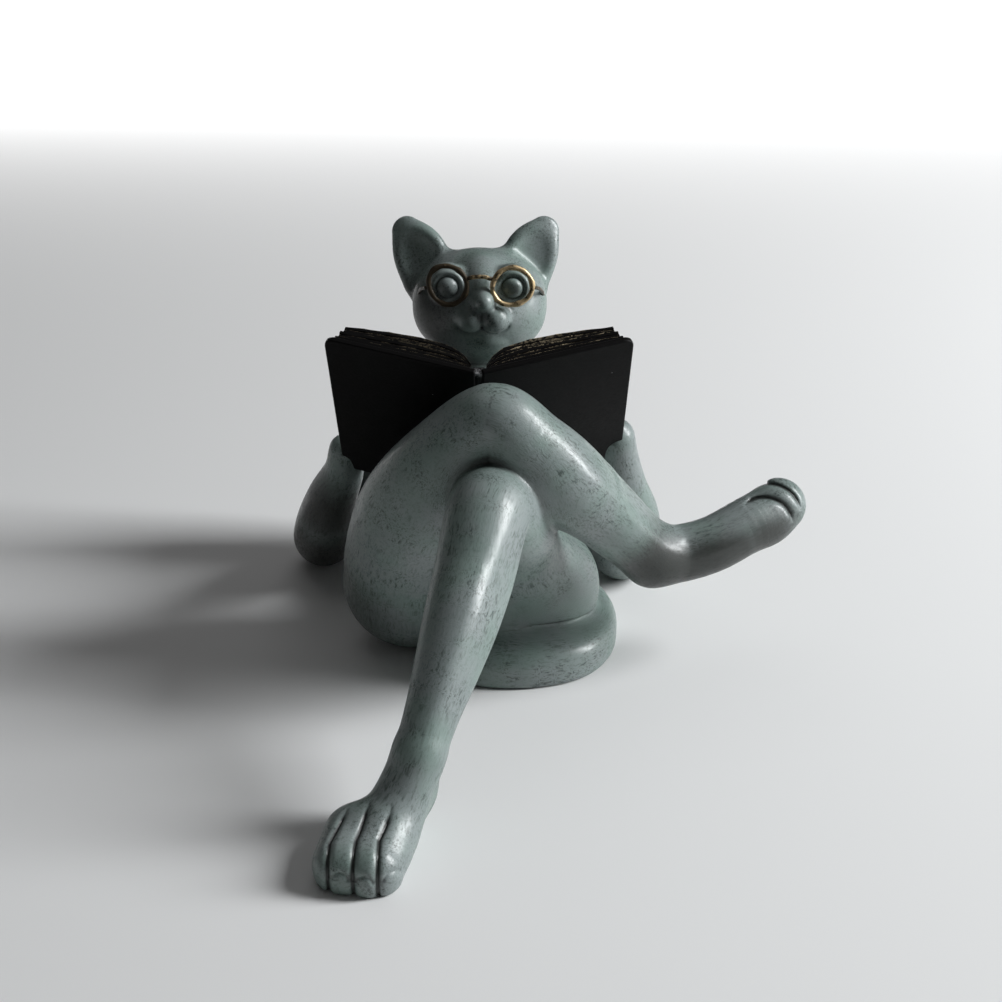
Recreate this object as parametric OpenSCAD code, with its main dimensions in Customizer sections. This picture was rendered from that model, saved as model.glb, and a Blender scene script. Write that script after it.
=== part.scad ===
// Reclining ceramic cat reading an open book through round spectacles.
// Millimetres. X: towards the cat's left, Y: away from the viewer, Z: up, floor at 0.
// Limbs are chains of rounded forms; pieces meet at shared parting faces.

/* [Forms] */
// Facets around each rounded form
facets = 20; // [12:4:32]
// Flattening where a form sits on the floor
seat_flat = 1; // [0:0.1:1.5]

/* [Head] */
// Middle plane of head and body
mid_x = -17; // [-20:0.5:-14]
// Eyeball radius
eye_r = 3.2; // [2:0.1:4]
// Nose ball radius
nose_r = 2.5; // [1.5:0.1:3.5]
// Thickness of the ear shell at its rim
ear_rim = 2; // [1.5:0.1:3]

/* [Limbs] */
// Corner radius of the standing paw
paw_r = 4.8; // [4:0.1:5.5]
// Tail radius
tail_r = 7; // [5:0.1:8]

/* [Vent] */
// Radius of the vent hole in the seat
vent_r = 3; // [2:0.1:5]
// Depth of the vent hole
vent_depth = 2; // [1:0.1:4]

/* [Book] */
// Height of a board along the spine
board_h = 52.8; // [40:0.1:60]
// Width of a board from the spine
board_w = 35.8; // [30:0.1:45]
// Board thickness
board_t = 1.6; // [1:0.1:3]
// Page block thickness
page_t = 6.4; // [3:0.1:8]
// Opening angle of each board from flat
board_open = 16; // [0:1:40]
// Lean of the book over the lap
board_lean = 34.6; // [0:0.1:60]

/* [Spectacles] */
// Middle radius of a rim
rim_r = 5.2; // [4:0.1:7]
// Radius of the rim wire
wire_r = 0.75; // [0.5:0.05:1.2]

/* [Hidden] */
home = [2.64, 4.55, 0];
glaze = [0.42, 0.49, 0.47];
gloss_black = [0.06, 0.06, 0.06];
gold = [0.62, 0.53, 0.32];
cream = [0.55, 0.47, 0.34];

hip_l = [mid_x + 15.1, 17.4, 17, 15.6];
hip_r = [mid_x - 17.7, 17, 18.6, 17.8];
torso_path = [
  [mid_x, 30, 17.6, 18], [mid_x, 42, 28, 19], [mid_x, 56, 38, 18.5],
  [mid_x, 67, 47, 17], [mid_x, 73, 56, 13], [mid_x, 74, 66, 10.5]
];
shoulders = [[mid_x - 15, 74, 48, 10.5], [mid_x + 15, 74, 48, 10.5]];
haunch = [[-12, 12, 15, 13.8], hip_l + [0, 0, 0, 0.4], [mid_x, 30, 17.6, 18]];
flank = [[11, 27, 17, 14.6], [14, 40, 24, 14.6]];
left_leg_path = [
  hip_l, [-8.2, 2, 33.9, 12.3], [-9.4, -17, 49.5, 11.2], [-13.5, -30, 57.6, 9.6],
  [-16.9, -44, 47.5, 9], [-19.4, -53, 41.5, 8.3], [-22.3, -61, 34.5, 7.1],
  [-25, -67, 27.9, 6], [-27.8, -72, 20.9, 5.5], [-31, -75, 14, 5.6], [-35, -79, 8, 5.4]
];
left_heel = [-31, -68.5, 5, 4.9];
left_paw = [
  [-34.4, -80.2, 6.4], [-35.4, -90.2, paw_r], [-43, -79.4, 6.4], [-44.2, -88.6, paw_r]
];
right_leg_path = [
  hip_r, [-33.8, 10, 30.6, 16.9], [-30.1, -2, 45.8, 15.7], [-22.7, -12, 60.9, 12.7],
  [-12.8, -18.4, 74.4, 8.9], [-4.4, -19, 67.2, 10.1], [3.3, -17.5, 60, 10.5], [12, -11.5, 51, 9.2],
  [21.1, -6, 40.6, 8.2], [26.4, -3.4, 34.6, 7.4], [33.4, -1, 34.1, 7.2], [41.6, 1, 35.7, 7],
  [50, 5, 38.6, 7], [55.5, 8.5, 39.9, 7.4], [59.3, 11, 42.1, 7]
];
left_arm_path = [
  [mid_x + 15, 74, 48, 9.5], [12, 70, 28, 9.6], [23.5, 58, 10.2, 9.4], [24.4, 46, 23, 9.2],
  [22, 38, 36.4, 6.8], [20, 33, 46.4, 5.8], [19, 29.5, 53.8, 5.2]
];
right_arm_path = [
  [mid_x - 15, 74, 48, 9.5], [-50, 74, 28, 9.2], [-62.8, 69, 9.5, 8.8], [-61.6, 54, 18.4, 8.4],
  [-57.8, 43, 31.4, 6.9], [-53.6, 37, 41.4, 5.4], [-52.2, 33, 48.9, 4.6]
];
tail_path = [
  [-8, 41, 7, 1], [6.8, 36.4, 7, 1], [12.4, 24, 7, 1.01], [11.8, 10.6, 7, 1.01],
  [6.3, 0.4, 7, 1.01], [-3, -4, 7, 0.98], [-13, -4.8, 7, 0.88], [-21, -3.4, 7, 0.7]
];
head_c = [mid_x, 68, 82];
ear_mid = -17.8;
eyes = [[-25.4, 54.6, 87], [-7.9, 54.6, 86.8]];
rims = [[-25.3, 51.4, 88.2], [-8, 51.4, 87.8]];
nose_c = [-15.6, 49.6, 83.8];
book_root = [-16.2, 23.5, 38.1];

module ball(p) {
  translate([p[0], p[1], p[2]]) sphere(r = p[3], $fn = facets);
}

module chain(path) {
  for (i = [0 : len(path) - 2]) hull() {
    ball(path[i]);
    ball(path[i + 1]);
  }
}

module floored() {
  difference() {
    translate([0, 0, -seat_flat]) children();
    translate([-150, -150, -20]) cube([300, 300, 20]);
  }
}

module torso_form() {
  floored() {
    chain(torso_path);
    for (s = [-1, 1]) hull() {
      ball(torso_path[0]);
      ball([mid_x + s * 9, 20, 15, 14.8]);
    }
    hull() for (h = haunch) ball(h);
    for (s = [-1, 1]) hull() for (f = flank) ball([mid_x + s * f[0], f[1], f[2], f[3]]);
    for (s = shoulders) hull() {
      ball(torso_path[3]);
      ball(s);
    }
  }
}

module left_leg_form() {
  floored() {
    chain(left_leg_path);
    hull() {
      ball(left_heel);
      ball(left_leg_path[8]);
    }
    hull() {
      for (p = left_paw) ball([p[0], p[1], p[2] + seat_flat, paw_r]);
      ball(left_leg_path[9]);
      ball(left_heel);
    }
  }
}

module right_leg_form() {
  floored() chain(right_leg_path);
}

module tail_form() {
  floored() chain([for (p = tail_path) [p[0], p[1], p[2], p[3] * tail_r]]);
}

module skull_form() {
  hull() {
    translate(head_c + [0, 2, -0.4]) scale([1.08, 0.95, 0.83]) sphere(r = 15.5, $fn = 28);
    for (s = [-1, 1]) ball([head_c[0] + s * 9.5, head_c[1] - 1, head_c[2] - 3.5, 9.6]);
  }
  for (s = [-1, 1]) hull() {
    ball([head_c[0] + s * 10, head_c[1], head_c[2] - 4, 9]);
    ball([head_c[0] + s * 8, head_c[1] - 2, head_c[2] - 9, 8]);
  }
  hull() {
    ball([head_c[0], head_c[1], head_c[2] - 4, 10]);
    ball([head_c[0], head_c[1] + 4, head_c[2] - 16, 9]);
  }
  muzzle_form();
}

module muzzle_form() {
  for (s = [-1, 1]) hull() {
    ball([mid_x + 1.6 + s * 4, 54.2, 78.6, 4.2]);
    ball([mid_x + 1 + s * 5, 60, 79.5, 6]);
  }
  hull() {
    ball([mid_x + 1.6, 55.4, 74.6, 2.9]);
    ball([mid_x + 1, 60, 74.5, 4.6]);
  }
  hull() {
    ball([mid_x + 1.4, 52.6, 84, 2.4]);
    ball([mid_x + 0.6, 58, 90, 3.4]);
  }
}

module ear_form() {
  difference() {
    hull() {
      ball([ear_mid - 16.6, 71, 83.5, 3.4]);
      ball([ear_mid - 9, 70, 91, 3]);
      ball([ear_mid - 22.6, 77, 93, 2.6]);
      ball([ear_mid - 22, 79, 96.6, 2.6]);
      ball([ear_mid - 19, 80, 98.6, 2.6]);
      ball([ear_mid - 15, 78, 97, 2.4]);
      ball([ear_mid - 13, 76, 85, 5]);
    }
    hull() {
      ball([ear_mid - 14.6, 66.5, 87, 4.4]);
      ball([ear_mid - 18.6, 70.5, 93.6, 4.2]);
      ball([ear_mid - 19.2, 75, 95.8, 4.4 - ear_rim]);
      ball([ear_mid - 17, 58, 90, 8]);
    }
  }
}

module head_solid() {
  difference() {
    skull_form();
    torso_form();
  }
}

module arm_form(path) {
  floored() chain(path);
}

module book_place() {
  translate(book_root) rotate([board_lean, 0, 0]) children();
}

module board_place(side) {
  book_place() mirror([side, 0, 0]) translate([2.4, 0, 0]) rotate([0, 0, board_open]) children();
}

module board_blank() {
  linear_extrude(height = board_t) hull() {
    translate([0, 0]) square([1, board_h]);
    translate([board_w - 2, 2]) circle(r = 2, $fn = 32);
    translate([board_w - 2, board_h - 2]) circle(r = 2, $fn = 32);
  }
}

module board_form(side) {
  board_place(side) translate([0, board_t, 0]) rotate([90, 0, 0]) board_blank();
}

module spine_form() {
  book_place() difference() {
    translate([0, 2.2, 0]) cylinder(r = 3.4, h = board_h, $fn = 48);
    translate([-5, 2.2, -1]) cube([10, 5, board_h + 2]);
    for (s = [0, 1]) mirror([s, 0, 0]) translate([2.4, 0, -1]) rotate([0, 0, board_open])
      cube([4, 8, board_h + 2]);
  }
}

module pages_form(side) {
  board_place(side) translate([0, 0, 1.6]) linear_extrude(height = board_h - 2.2) polygon([
    [0.2, board_t], [0.2, board_t + page_t * 0.25], [2.4, board_t + page_t * 0.62],
    [6, board_t + page_t * 0.88], [11, board_t + page_t], [18, board_t + page_t * 0.98],
    [26, board_t + page_t * 0.84], [board_w - 3.6, board_t + page_t * 0.66],
    [board_w - 3.2, board_t + page_t * 0.5], [board_w - 2.8, board_t]
  ]);
}

module book_half(side) {
  hull() {
    board_form(side);
    pages_form(side);
  }
}

module rim_form(c, turn) {
  translate(c) rotate([90, 0, turn]) rotate_extrude($fn = 40)
    translate([rim_r, 0]) circle(r = wire_r, $fn = 12);
}

module temple_form(side) {
  x = side == 0 ? -2.1 : -31.1;
  dx = side == 0 ? 1 : -1;
  chain([
    [x, 52.2, 87.3, 0.6], [x + dx * 1.2, 56, 86.2, 0.6], [x + dx * 2.2, 61, 84.2, 0.6],
    [x + dx * 2.8, 66, 82, 0.6]
  ]);
}

module vent_place() {
  translate([mid_x, 23, 0]) children();
}

module torso() {
  color(glaze) difference() {
    torso_form();
    vent_place() translate([0, 0, -1]) cylinder(r = vent_r, h = vent_depth + 1, $fn = 48);
  }
}

module vent_plug() {
  color(cream) vent_place() translate([0, 0, 0.4]) cylinder(r = vent_r, h = vent_depth - 0.4, $fn = 48);
}

module head() {
  color(glaze) difference() {
    head_solid();
    for (e = eyes) ball([e[0], e[1], e[2], eye_r]);
    ball([nose_c[0], nose_c[1], nose_c[2], nose_r]);
    rim_form(rims[0], -6);
    rim_form(rims[1], 6);
    temple_form(0);
    temple_form(1);
  }
}

module right_ear() {
  color(glaze) difference() {
    ear_form();
    skull_form();
  }
}

module left_ear() {
  color(glaze) difference() {
    translate([2 * ear_mid, 0, 0]) mirror([1, 0, 0]) ear_form();
    skull_form();
  }
}

module eye(c) {
  color(glaze) ball([c[0], c[1], c[2], eye_r]);
}

module nose() {
  color(glaze) ball([nose_c[0], nose_c[1], nose_c[2], nose_r]);
}

module left_arm() {
  color(glaze) difference() {
    arm_form(left_arm_path);
    torso_form();
    book_half(0);
  }
}

module right_arm() {
  color(glaze) difference() {
    arm_form(right_arm_path);
    torso_form();
    book_half(1);
  }
}

module left_leg() {
  color(glaze) difference() {
    left_leg_form();
    torso_form();
  }
}

module right_leg() {
  color(glaze) difference() {
    right_leg_form();
    torso_form();
    left_leg_form();
  }
}

module tail() {
  color(glaze) difference() {
    tail_form();
    torso_form();
    left_leg_form();
  }
}

module bridge() {
  color(gold) difference() {
    chain([[-20.6, 51.2, 90.2, 0.7], [-18, 50.2, 91, 0.7], [-15.4, 50.2, 91, 0.7], [-12.8, 51.2, 90, 0.7]]);
    rim_form(rims[0], -6);
    rim_form(rims[1], 6);
    skull_form();
  }
}

module temple(side) {
  color(gold) difference() {
    temple_form(side);
    rim_form(rims[side == 0 ? 1 : 0], side == 0 ? 6 : -6);
  }
}

translate(home) {
  torso();
  vent_plug();
  head();
  left_ear();
  right_ear();
  eye(eyes[1]);  // left_eye
  eye(eyes[0]);  // right_eye
  nose();
  left_arm();
  right_arm();
  left_leg();
  right_leg();
  tail();
  color(gloss_black) board_form(0);  // left_board
  color(gloss_black) board_form(1);  // right_board
  color(gloss_black) spine_form();  // spine
  color(gloss_black) pages_form(0);  // left_pages
  color(gloss_black) pages_form(1);  // right_pages
  color(gold) rim_form(rims[1], 6);  // left_rim
  color(gold) rim_form(rims[0], -6);  // right_rim
  bridge();
  temple(0);  // left_temple
  temple(1);  // right_temple
}
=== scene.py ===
import math

import bmesh
import bpy
import numpy as np
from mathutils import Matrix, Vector


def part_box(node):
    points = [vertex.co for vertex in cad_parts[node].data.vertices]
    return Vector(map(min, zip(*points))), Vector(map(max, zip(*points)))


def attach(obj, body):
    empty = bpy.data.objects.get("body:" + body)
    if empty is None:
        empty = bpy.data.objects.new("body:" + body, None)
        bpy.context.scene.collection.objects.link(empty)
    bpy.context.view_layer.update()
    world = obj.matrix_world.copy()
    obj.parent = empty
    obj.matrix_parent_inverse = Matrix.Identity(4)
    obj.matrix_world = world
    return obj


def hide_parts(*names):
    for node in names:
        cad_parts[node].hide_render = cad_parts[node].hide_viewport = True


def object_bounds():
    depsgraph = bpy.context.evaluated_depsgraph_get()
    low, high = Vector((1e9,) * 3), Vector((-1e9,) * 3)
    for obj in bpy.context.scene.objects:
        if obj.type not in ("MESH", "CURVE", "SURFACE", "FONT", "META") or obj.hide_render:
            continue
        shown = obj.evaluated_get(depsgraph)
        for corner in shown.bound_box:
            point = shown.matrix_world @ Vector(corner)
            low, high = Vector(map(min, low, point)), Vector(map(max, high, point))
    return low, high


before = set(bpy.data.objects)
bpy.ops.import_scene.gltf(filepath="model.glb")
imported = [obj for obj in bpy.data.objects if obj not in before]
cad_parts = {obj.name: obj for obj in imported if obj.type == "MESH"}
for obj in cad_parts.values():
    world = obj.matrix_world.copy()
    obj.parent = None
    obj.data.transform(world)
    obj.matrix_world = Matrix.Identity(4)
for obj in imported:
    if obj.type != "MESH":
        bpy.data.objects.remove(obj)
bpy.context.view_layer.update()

# ---------------------------------------------------------------- body space
# The cat is sculpted in millimetres in the space of its own skeleton: the middle plane of
# the body is at MID, and the vent in the seat, whose place the frame gives, is at VENT.

MM = 0.001
MID = -17.0
VENT = (MID, 23.0)
SEAT_FLAT = 1.0


def box_centre(node):
    low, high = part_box(node)
    return np.array((low + high) / 2)


vent = box_centre("vent_plug") / MM
HOME = np.array((vent[0] - VENT[0], vent[1] - VENT[1], 0.0))


def to_body(point):
    """A frame position in metres as a position in body space."""
    return np.array(point) / MM - HOME


# Each limb is a list of stations along its middle line: x, y, z, radius, and where one side
# is flattened the depth of the flat in radii.
NO_FLAT = 1.3
HIP_L = (MID + 15.1, 17.4, 17, 15.6)
HIP_R = (MID - 17.7, 17, 18.6, 17.8)
TORSO = [(MID, 30, 17.6, 18), (MID, 42, 28, 19), (MID, 56, 38, 18.5),
         (MID, 67, 47, 17), (MID, 73, 56, 13), (MID, 74, 66, 10.5)]
PELVIS = [(MID - 9, 20, 15, 14.8), (MID, 30, 17.6, 18), (MID + 9, 20, 15, 14.8)]
HAUNCH = [(-12, 12, 15, 13.8), HIP_L]
FLANK = [(MID + 11, 27, 17, 14.6), (MID + 14, 40, 24, 14.6)]
SHOULDERS = [(MID - 15, 74, 48, 10.5), (MID, 67, 47, 17), (MID + 15, 74, 48, 10.5)]
LEG_L = [HIP_L, (-8.2, 2, 33.9, 12.3), (-9.4, -17, 49.5, 11.2), (-13.5, -30, 57.6, 9.6, 1.1),
         (-16.9, -44, 47.5, 9, 0.84), (-19.4, -53, 41.5, 8.3, 0.83), (-22.3, -61, 34.5, 7.1, 0.83),
         (-25, -67, 27.9, 6, 0.86), (-27.8, -72, 20.9, 5.5, 0.95), (-31, -75, 14, 5.6), (-35, -79, 8, 5.4)]
LEG_R = [HIP_R, (-33.8, 10, 30.6, 16.9), (-30.1, -2, 45.8, 15.7), (-22.7, -12, 60.9, 12.7),
         (-12.8, -18.4, 74.4, 8.9), (-4.4, -19, 67.2, 10.1, 1.15), (3.3, -17.5, 60, 10.5, 0.95),
         (12, -11.5, 51, 9.2, 0.86), (21.1, -6, 40.6, 8.2, 0.88), (26.4, -3.4, 34.6, 7.4, 1.1),
         (33.4, -1, 34.1, 7.2), (41.6, 1, 35.7, 7), (50, 5, 38.6, 7), (55.5, 8.5, 39.9, 7.4),
         (59.3, 11, 42.1, 7)]
ARM_L = [(MID + 15, 74, 48, 9.5), (12, 70, 28, 9.6), (23.5, 58, 10.2, 9.4), (24.4, 46, 23, 9.2),
         (22, 38, 36.4, 6.8), (20, 33, 46.4, 5.8), (19, 29.5, 53.8, 5.2)]
ARM_R = [(MID - 15, 74, 48, 9.5), (-50, 74, 28, 9.2), (-62.8, 69, 9.5, 8.8), (-61.6, 54, 18.4, 8.4),
         (-57.8, 43, 31.4, 6.9), (-53.6, 37, 41.4, 5.4), (-52.2, 33, 48.9, 4.6)]
TAIL = [(-8, 41, 7, 7), (6.8, 36.4, 7, 7), (12.4, 24, 7, 7.07), (11.8, 10.6, 7, 7.07),
        (6.3, 0.4, 7, 7.07), (-3, -4, 7, 6.86), (-13, -4.8, 7, 6.16), (-21, -3.4, 7, 4.9)]
TAIL_TOP = 10.9
TAIL_SLOPE = 0.25
TAIL_TAPER = 0.8
TAIL_EDGE, TAIL_FOOT_EDGE = 4.5, 2.5
TAIL_RING = (-4, 16)
# Which way the flattened sides of the shins face
SHIN_FLAT_L = np.array((0.85, -0.485, 0.208))
SHIN_FLAT_R = np.array((0.71, -0.219, 0.67))
HEEL_L = (-31.4, -69.5, 5, 4.7)
# The standing paw is a rounded block, parted into toes by furrows drawn here in plan.
PAW_CENTRE = np.array((-38.8, -84.4, 4.2))
PAW_HALF = np.array((9.3, 10.2, 6.4))
PAW_CORNER = 6.0
PAW_SIDE_L = [(-30, -71, 9.5, 4), (-32.2, -78, 7, 4.4), (-33.6, -85, 5, 4.5)]
PAW_YAW, PAW_PITCH = -11, 11
TOE_LINES = [[(-42.2, -79.5), (-45, -88), (-45.4, -98)], [(-37.6, -79.5), (-39.8, -88), (-40.4, -98)],
             [(-32.9, -81.5), (-35.2, -88), (-35.2, -98)]]
# Claws are small arcs on the toes' front: x and z
CLAWS = [(-42.6, 4.1), (-37.8, 3.9), (-32.6, 4.0)]
CLAW_Y = -94
CLAW_R = 1.6
# The raised paw's furrows are arcs, seen from the side of the foot.
PAW_SIDE = -22
TOE_ARCS = [((55.7, 8, 39.1), 8.5, (10, 138)), ((54.5, 8, 36.3), 7.5, (8, 136))]
# Planes that part the paws from the legs, as a point and the direction of the paw
ANKLE_L = (np.array((-30.5, -74.5, 15)), np.array((-0.35, -0.6, -0.72)))
ANKLE_R = (np.array((48, 4, 38)), np.array((0.83, 0.47, 0.3)))

BEAD = 0.22


def station_curve(stations, steps=None):
    """Catmull-Rom curve through the stations; without steps its rows are BEAD radii apart."""
    ctrl = np.array([(*s, NO_FLAT)[:5] for s in stations], float)
    ends = np.vstack((2 * ctrl[0] - ctrl[1], ctrl, 2 * ctrl[-1] - ctrl[-2]))
    out = []
    for i in range(1, len(ends) - 2):
        a, b, c, d = ends[i - 1:i + 3]
        close = BEAD * min(b[3], c[3])
        count = steps or max(2, math.ceil(np.linalg.norm((c - b)[:3]) / close))
        ts = np.arange(count)[:, None] / count
        out.append(0.5 * (2 * b + (c - a) * ts + (2 * a - 5 * b + 4 * c - d) * ts ** 2
                          + (3 * b - a - 3 * c + d) * ts ** 3))
    out.append(ctrl[-1:])
    return np.vstack(out)


# ---------------------------------------------------------------- fields
# A field gives the distance of points (n, 3) from a form: below zero inside, in millimetres.

FAR = 60.0
REACH = 9.0
RUN = 14


class Form:
    """A field together with the box outside which it counts as FAR."""

    def __init__(self, field, low, high):
        self.field, self.low, self.high = field, low, high

    def __call__(self, p):
        near = ((p > self.low) & (p < self.high)).all(1)
        out = np.full(len(p), FAR)
        if near.any():
            out[near] = self.field(p[near])
        return out


def seat(stations):
    """Lowers stations so that their undersides flatten on the floor."""
    return [(s[0], s[1], s[2] - SEAT_FLAT, *s[3:]) for s in stations]


def bounds_of(stations):
    ends = np.array([st[:4] for st in stations], float)
    return (ends[:, :3] - ends[:, 3:]).min(0) - REACH, (ends[:, :3] + ends[:, 3:]).max(0) + REACH


def bounded(stations, field):
    """A form whose box reaches a little beyond its stations."""
    return Form(field, *bounds_of(stations))


def nearest_bead(p, rows):
    """Distance from the smooth tube through closely set rows, and the row it is nearest to,
    with the fraction of a row."""
    square = (p ** 2).sum(1)[:, None] - 2 * p @ rows[:, :3].T + (rows[:, :3] ** 2).sum(1)
    gap = np.sqrt(np.maximum(square, 1e-9)) - rows[:, 3]
    at = np.clip(gap.argmin(1), 1, len(rows) - 2)
    each = np.arange(len(p))
    before, here, after = gap[each, at - 1], gap[each, at], gap[each, at + 1]
    bend = np.maximum(before - 2 * here + after, 1e-6)
    shift = np.clip((before - after) / (2 * bend), -1, 1)
    return here + shift * (after - before) / 2 + shift ** 2 * bend / 2, at, shift


def between(rows, at, shift):
    """The rows' values at fractional places."""
    slope = (rows[at + 1] - rows[at - 1]) / 2
    return rows[at] + shift[:, None] * slope


def beads(rows, flat_side):
    def field(p):
        gap, at, shift = nearest_bead(p, rows)
        if flat_side is None:
            return gap
        spot = between(rows, at, shift)
        flat = (p - spot[:, :3]) @ flat_side - spot[:, 3] * spot[:, 4]
        return soft_max(gap, flat, 2.0)
    return field


def tube(stations, flat_side=None):
    """A smooth round tube through the stations, worked out in short runs."""
    path = station_curve(stations)
    parts = []
    for i in range(0, len(path) - 1, RUN):
        rows = path[max(i - 1, 0):i + RUN + 2]
        parts.append(bounded(rows, beads(rows, flat_side)))
    return Form(lambda p: np.min([part(p) for part in parts], axis=0),
                np.min([part.low for part in parts], axis=0),
                np.max([part.high for part in parts], axis=0))


def ball(x, y, z, r):
    centre = np.array((x, y, z), float)

    def field(p):
        return np.linalg.norm(p - centre, axis=1) - r
    return field


def lens(centre, radii, turn=None):
    """An ellipsoid; turn holds its axes as rows."""
    centre = np.array(centre, float)
    radii = np.array(radii, float)

    def field(p):
        q = p - centre
        if turn is not None:
            q = q @ turn.T
        k0 = np.linalg.norm(q / radii, axis=1)
        k1 = np.linalg.norm(q / radii ** 2, axis=1)
        return k0 * (k0 - 1) / np.maximum(k1, 1e-6)
    return field


def block(centre, half, corner, turn):
    """A box with rounded corners; turn holds its axes as rows."""
    def field(p):
        q = np.abs((p - centre) @ turn.T) - (half - corner)
        return np.linalg.norm(np.maximum(q, 0), axis=1) + np.minimum(q.max(1), 0) - corner
    return field


def soft_min(a, b, k):
    h = np.maximum(k - np.abs(a - b), 0) / k
    return np.minimum(a, b) - h * h * k / 4


def soft_max(a, b, k):
    return -soft_min(-a, -b, k)


def join(k, *fields):
    def field(p):
        d = fields[0](p)
        for f in fields[1:]:
            d = soft_min(d, f(p), k)
        return d
    return field


def axes_of(yaw, pitch, roll=0.0):
    """Rows are the turned x, y and z axes, from angles in degrees."""
    cy, sy = math.cos(math.radians(yaw)), math.sin(math.radians(yaw))
    cp, sp = math.cos(math.radians(pitch)), math.sin(math.radians(pitch))
    cr, sr = math.cos(math.radians(roll)), math.sin(math.radians(roll))
    rz = np.array(((cy, sy, 0), (-sy, cy, 0), (0, 0, 1)))
    rx = np.array(((1, 0, 0), (0, cp, sp), (0, -sp, cp)))
    ry = np.array(((cr, 0, -sr), (0, 1, 0), (sr, 0, cr)))
    return ry @ rx @ rz


# ---------------------------------------------------------------- the cat's forms

def torso_form():
    trunk = tube(seat(TORSO))
    pelvis = tube(seat(PELVIS))
    shoulders = tube(seat(SHOULDERS))
    flank = tube(seat(FLANK))
    haunch = tube(seat(HAUNCH))
    return bounded(TORSO + PELVIS + SHOULDERS + FLANK + HAUNCH,
                   join(5, trunk, pelvis, shoulders, flank, haunch))


FURROW_DEPTH, FURROW_WIDTH = 1.3, 0.5
MOUTH_DEPTH, MOUTH_WIDTH = 0.7, 0.4
CLAW_DEPTH, CLAW_WIDTH = 0.6, 0.36


def furrow_profile(gap, depth, width):
    return depth * np.exp(-np.sqrt(gap ** 2 + 0.04) / width)


def plan_furrow(line):
    """How far a furrow along a line in plan sinks the skin; it fades in at its start."""
    line = np.array(line, float)

    def sink(p):
        best = np.full(len(p), FAR)
        run = np.zeros(len(p))
        start = 0.0
        for a, b in zip(line[:-1], line[1:]):
            ab = b - a
            ap = p[:, :2] - a
            t = np.clip(ap @ ab / (ab @ ab), 0, 1)
            gap = np.linalg.norm(ap - t[:, None] * ab, axis=1)
            run = np.where(gap < best, start + t * np.linalg.norm(ab), run)
            best = np.minimum(best, gap)
            start += np.linalg.norm(ab)
        return furrow_profile(best, FURROW_DEPTH, FURROW_WIDTH) * np.clip(run / 3, 0, 1)
    return sink


def arc_furrow(centre, radius, span, depth, width, pitch=0, reach=FAR):
    """The same along an arc drawn square to the turned y axis, its span in degrees."""
    turn = axes_of(0, pitch)

    def sink(p):
        q = (p - np.array(centre)) @ turn.T
        gap = np.hypot(q[:, 0], q[:, 2]) - radius
        angle = np.degrees(np.arctan2(q[:, 2], q[:, 0]))
        fade = np.clip((angle - span[0]) / 22, 0, 1) * np.clip((span[1] - angle) / 20, 0, 1)
        return furrow_profile(gap, depth, width) * fade * np.clip(reach - np.abs(q[:, 1]), 0, 1)
    return sink


def furrowed(field, furrows):
    return lambda p: field(p) + sum(sink(p) for sink in furrows)


FURROWS = {
    "left_leg": [plan_furrow(line) for line in TOE_LINES]
    + [arc_furrow((x, CLAW_Y, z), CLAW_R, (-12, 200), CLAW_DEPTH, CLAW_WIDTH, reach=4)
       for x, z in CLAWS],
    "right_leg": [arc_furrow(*arc, FURROW_DEPTH, FURROW_WIDTH, PAW_SIDE) for arc in TOE_ARCS],
}


def left_leg_form():
    limb = tube(seat(LEG_L), SHIN_FLAT_L)
    heel = tube(seat([LEG_L[8][:4], HEEL_L, LEG_L[10]]))
    paw = block(PAW_CENTRE, PAW_HALF, PAW_CORNER, axes_of(PAW_YAW, PAW_PITCH))
    side = tube(PAW_SIDE_L)
    foot = join(4.4, join(1.6, limb, heel), join(2, paw, side))
    return bounded(LEG_L + [(*PAW_CENTRE, 11)], furrowed(foot, FURROWS["left_leg"]))


def right_leg_form():
    shin = tube(seat(LEG_R[:10]), SHIN_FLAT_R)
    limb = Form(join(3, shin, tube(seat(LEG_R[9:]))), *bounds_of(LEG_R))
    return Form(furrowed(limb, FURROWS["right_leg"]), limb.low, limb.high)


def tail_form():
    """A band with upright sides and a gently outward-sloping top."""
    path = station_curve(seat(TAIL))
    ring = np.linalg.norm(path[:, :2] - TAIL_RING, axis=1)
    rows = np.column_stack((path * (1, 1, 0, 1, 1), ring))

    def field(p):
        side, at, shift = nearest_bead(p * (1, 1, 0), rows)
        spot = between(rows, at, shift)
        outward = np.linalg.norm(p[:, :2] - TAIL_RING, axis=1) - spot[:, 5]
        top = p[:, 2] - TAIL_TOP + TAIL_SLOPE * outward + TAIL_TAPER * (TAIL[3][3] - spot[:, 3])
        return soft_max(soft_max(side, top, TAIL_EDGE), -p[:, 2] - 0.3, TAIL_FOOT_EDGE)
    return bounded(path, field)


EYES = {n: to_body(box_centre(n)) for n in ("left_eye", "right_eye")}
EYE_R = 3
EYE_BACK = 0.5
LID_RING, LID_R = 3.9, 0.75
NOSE = to_body(box_centre("nose"))
NOSE_R = 2.1
FURROWS["head"] = [arc_furrow((NOSE[0] + x, 50, 78.5), r, (-165, -15), MOUTH_DEPTH, MOUTH_WIDTH, reach=8)
                   for x, r in ((3, 4.4), (-3.9, 4.1))]    # the two halves of the mouth


def lid(eye):
    """The swelling round an eye, with a soft ring on it."""
    swelling = lens((eye[0], 58.6, eye[2]), (5.7, 4.8, 5.7))

    def ring(p):
        q = p - (eye[0], 54.4, eye[2])
        return np.hypot(np.hypot(q[:, 0], q[:, 2]) - LID_RING, q[:, 1]) - LID_R
    return join(1.0, swelling, ring)


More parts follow.
